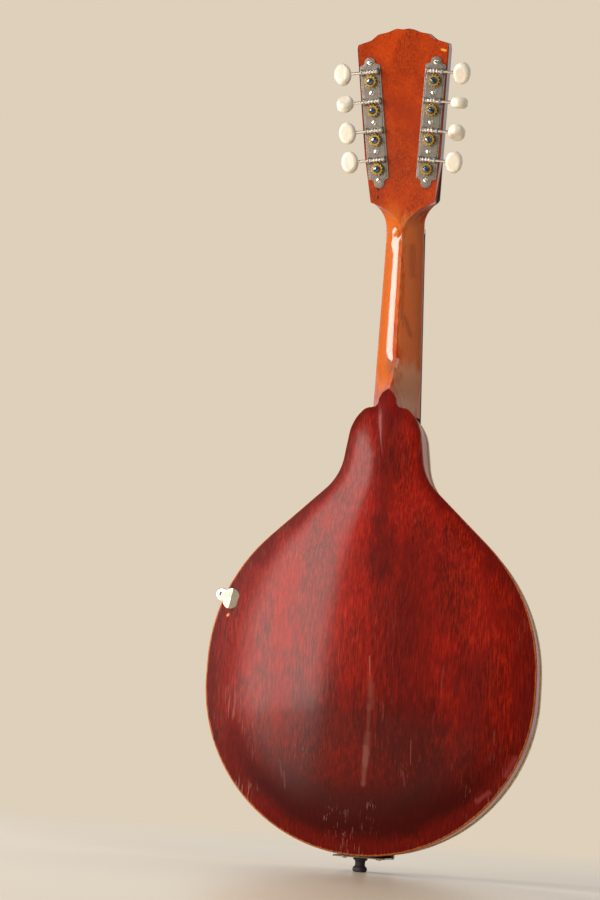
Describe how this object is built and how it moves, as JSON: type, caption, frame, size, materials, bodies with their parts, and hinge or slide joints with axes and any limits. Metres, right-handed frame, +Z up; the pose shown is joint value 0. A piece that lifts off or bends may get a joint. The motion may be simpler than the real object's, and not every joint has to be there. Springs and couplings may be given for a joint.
{
  "type": "mandolin",
  "caption": "A-style mandolin with carved top and back, oval sound hole, angled head and geared tuners that turn the string posts.",
  "frame": {"origin": "centre of the end pin's outer flat face", "axes": "+Z up the body towards the neck, +Y towards the carved back, -Y towards the soundboard and strings, +X towards the treble side"},
  "size_m": [0.2597, 0.1141, 0.6593],
  "materials": {
    "bone": "polished bone",
    "brass": "tarnished brass",
    "ebony": "polished black wood",
    "ivoroid": "cream celluloid",
    "mahogany": "dark red stain under gloss varnish",
    "neck_mahogany": "orange-brown stain under worn gloss varnish",
    "nickel": "worn nickel plate",
    "pickguard_celluloid": "dark mottled celluloid",
    "plain_wood": "bare wood inside the body",
    "spruce": "amber varnish over spruce",
    "string_steel": "drawn steel wire"
  },
  "bodies": {
    "body": {"back_lining": "plain_wood", "back_plate": "mahogany", "bridge_base": "ebony", "end_pin": "ebony", "fingerboard": "ebony", "head_block": "plain_wood", "headstock_veneer": "ebony", "neck": "neck_mahogany", "nut": "bone", "pickguard": "pickguard_celluloid", "pickguard_bracket": "nickel", "pickguard_pin": "nickel", "rim": "mahogany", "sound_hole_ring": "ivoroid", "soundboard": "spruce", "string_bass_1": "string_steel", "string_bass_2": "string_steel", "string_bass_3": "string_steel", "string_bass_4": "string_steel", "string_treble_1": "string_steel", "string_treble_2": "string_steel", "string_treble_3": "string_steel", "string_treble_4": "string_steel", "tail_block": "plain_wood", "tailpiece": "nickel", "tone_bar": "plain_wood", "top_binding": "ivoroid", "top_lining": "plain_wood", "tuner_plate_bass": "nickel", "tuner_plate_treble": "nickel"},
    "button_treble_1": {"tuner_button_treble_1": "ivoroid", "worm_shaft_treble_1": "nickel"},
    "post_treble_1": {"string_post_treble_1": "brass"},
    "button_treble_2": {"tuner_button_treble_2": "ivoroid", "worm_shaft_treble_2": "nickel"},
    "post_treble_2": {"string_post_treble_2": "brass"},
    "button_treble_3": {"tuner_button_treble_3": "ivoroid", "worm_shaft_treble_3": "nickel"},
    "post_treble_3": {"string_post_treble_3": "brass"},
    "button_treble_4": {"tuner_button_treble_4": "ivoroid", "worm_shaft_treble_4": "nickel"},
    "post_treble_4": {"string_post_treble_4": "brass"},
    "button_bass_1": {"tuner_button_bass_1": "ivoroid", "worm_shaft_bass_1": "nickel"},
    "post_bass_1": {"string_post_bass_1": "brass"},
    "button_bass_2": {"tuner_button_bass_2": "ivoroid", "worm_shaft_bass_2": "nickel"},
    "post_bass_2": {"string_post_bass_2": "brass"},
    "button_bass_3": {"tuner_button_bass_3": "ivoroid", "worm_shaft_bass_3": "nickel"},
    "post_bass_3": {"string_post_bass_3": "brass"},
    "button_bass_4": {"tuner_button_bass_4": "ivoroid", "worm_shaft_bass_4": "nickel"},
    "post_bass_4": {"string_post_bass_4": "brass"},
    "saddle": {"bridge_saddle": "ebony"},
    "wheel_treble": {"bridge_wheel_treble": "brass"},
    "wheel_bass": {"bridge_wheel_bass": "brass"},
    "cover": {"tailpiece_cover": "nickel"},
    "clamp_foot": {"clamp_foot": "nickel"},
    "clamp_nut": {"clamp_nut": "nickel"}
  },
  "joints": [
    {"name": "button_treble_1_turn", "type": "hinge", "parent": "body", "child": "button_treble_1", "pos_m": [0.02047, 0.03196, 0.55561], "axis": [0.9966, -0.0285, -0.0772], "continuous": true},
    {"name": "post_treble_1_turn", "type": "hinge", "parent": "body", "child": "post_treble_1", "pos_m": [0.01987, 0.02532, 0.55031], "axis": [0, 0.9383, -0.3458], "continuous": true},
    {"name": "button_treble_2_turn", "type": "hinge", "parent": "body", "child": "button_treble_2", "pos_m": [0.02237, 0.03992, 0.57721], "axis": [0.9966, -0.0285, -0.0772], "continuous": true},
    {"name": "post_treble_2_turn", "type": "hinge", "parent": "body", "child": "post_treble_2", "pos_m": [0.02177, 0.03327, 0.5719], "axis": [0, 0.9383, -0.3458], "continuous": true},
    {"name": "button_treble_3_turn", "type": "hinge", "parent": "body", "child": "button_treble_3", "pos_m": [0.02427, 0.04787, 0.5988], "axis": [0.9966, -0.0285, -0.0772], "continuous": true},
    {"name": "post_treble_3_turn", "type": "hinge", "parent": "body", "child": "post_treble_3", "pos_m": [0.02367, 0.04123, 0.59349], "axis": [0, 0.9383, -0.3458], "continuous": true},
    {"name": "button_treble_4_turn", "type": "hinge", "parent": "body", "child": "button_treble_4", "pos_m": [0.02617, 0.05583, 0.62039], "axis": [0.9966, -0.0285, -0.0772], "continuous": true},
    {"name": "post_treble_4_turn", "type": "hinge", "parent": "body", "child": "post_treble_4", "pos_m": [0.02557, 0.04919, 0.61508], "axis": [0, 0.9383, -0.3458], "continuous": true},
    {"name": "button_bass_1_turn", "type": "hinge", "parent": "body", "child": "button_bass_1", "pos_m": [-0.02047, 0.03196, 0.55561], "axis": [-0.9966, -0.0285, -0.0772], "continuous": true},
    {"name": "post_bass_1_turn", "type": "hinge", "parent": "body", "child": "post_bass_1", "pos_m": [-0.01987, 0.02532, 0.55031], "axis": [0, 0.9383, -0.3458], "continuous": true},
    {"name": "button_bass_2_turn", "type": "hinge", "parent": "body", "child": "button_bass_2", "pos_m": [-0.02237, 0.03992, 0.57721], "axis": [-0.9966, -0.0285, -0.0772], "continuous": true},
    {"name": "post_bass_2_turn", "type": "hinge", "parent": "body", "child": "post_bass_2", "pos_m": [-0.02177, 0.03327, 0.5719], "axis": [0, 0.9383, -0.3458], "continuous": true},
    {"name": "button_bass_3_turn", "type": "hinge", "parent": "body", "child": "button_bass_3", "pos_m": [-0.02427, 0.04787, 0.5988], "axis": [-0.9966, -0.0285, -0.0772], "continuous": true},
    {"name": "post_bass_3_turn", "type": "hinge", "parent": "body", "child": "post_bass_3", "pos_m": [-0.02367, 0.04123, 0.59349], "axis": [0, 0.9383, -0.3458], "continuous": true},
    {"name": "button_bass_4_turn", "type": "hinge", "parent": "body", "child": "button_bass_4", "pos_m": [-0.02617, 0.05583, 0.62039], "axis": [-0.9966, -0.0285, -0.0772], "continuous": true},
    {"name": "post_bass_4_turn", "type": "hinge", "parent": "body", "child": "post_bass_4", "pos_m": [-0.02557, 0.04919, 0.61508], "axis": [0, 0.9383, -0.3458], "continuous": true},
    {"name": "wheel_treble_turn", "type": "hinge", "parent": "saddle", "child": "wheel_treble", "pos_m": [0.037, -0.0422, 0.15726], "axis": [0, -1, 0], "range_deg": [-680, 900]},
    {"name": "wheel_bass_turn", "type": "hinge", "parent": "saddle", "child": "wheel_bass", "pos_m": [-0.037, -0.0422, 0.15726], "axis": [0, -1, 0], "range_deg": [-680, 900]},
    {"name": "saddle_lift", "type": "slide", "parent": "body", "child": "saddle", "axis": [0, -1, 0], "range_m": [-0.0012, 0.0016], "deforming": ["string_bass_1", "string_bass_2", "string_bass_3", "string_bass_4", "string_treble_1", "string_treble_2", "string_treble_3", "string_treble_4"]},
    {"name": "tailpiece_cover_slide", "type": "slide", "parent": "body", "child": "cover", "axis": [0, 0.1702, -0.9854], "range_m": [0, 0.045]},
    {"name": "clamp_nut_turn", "type": "hinge", "parent": "clamp_foot", "child": "clamp_nut", "pos_m": [0.12657, -0.0051, 0.20489], "axis": [0, 1, 0], "range_deg": [0, 2160]},
    {"name": "clamp_foot_slide", "type": "slide", "parent": "body", "child": "clamp_foot", "axis": [0, 1, 0], "range_m": [0, 0.0031]}
  ],
  "couplings": [
    {"joint": "post_treble_1_turn", "follows": "button_treble_1_turn", "ratio": 0.083333},
    {"joint": "post_treble_2_turn", "follows": "button_treble_2_turn", "ratio": 0.083333},
    {"joint": "post_treble_3_turn", "follows": "button_treble_3_turn", "ratio": 0.083333},
    {"joint": "post_treble_4_turn", "follows": "button_treble_4_turn", "ratio": 0.083333},
    {"joint": "post_bass_1_turn", "follows": "button_bass_1_turn", "ratio": 0.083333},
    {"joint": "post_bass_2_turn", "follows": "button_bass_2_turn", "ratio": 0.083333},
    {"joint": "post_bass_3_turn", "follows": "button_bass_3_turn", "ratio": 0.083333},
    {"joint": "post_bass_4_turn", "follows": "button_bass_4_turn", "ratio": 0.083333},
    {"joint": "saddle_lift", "follows": "wheel_treble_turn", "m_per_rad": 0.00010106},
    {"joint": "wheel_bass_turn", "follows": "wheel_treble_turn", "ratio": 1},
    {"joint": "clamp_foot_slide", "follows": "clamp_nut_turn", "m_per_rad": 0.000079577}
  ]
}
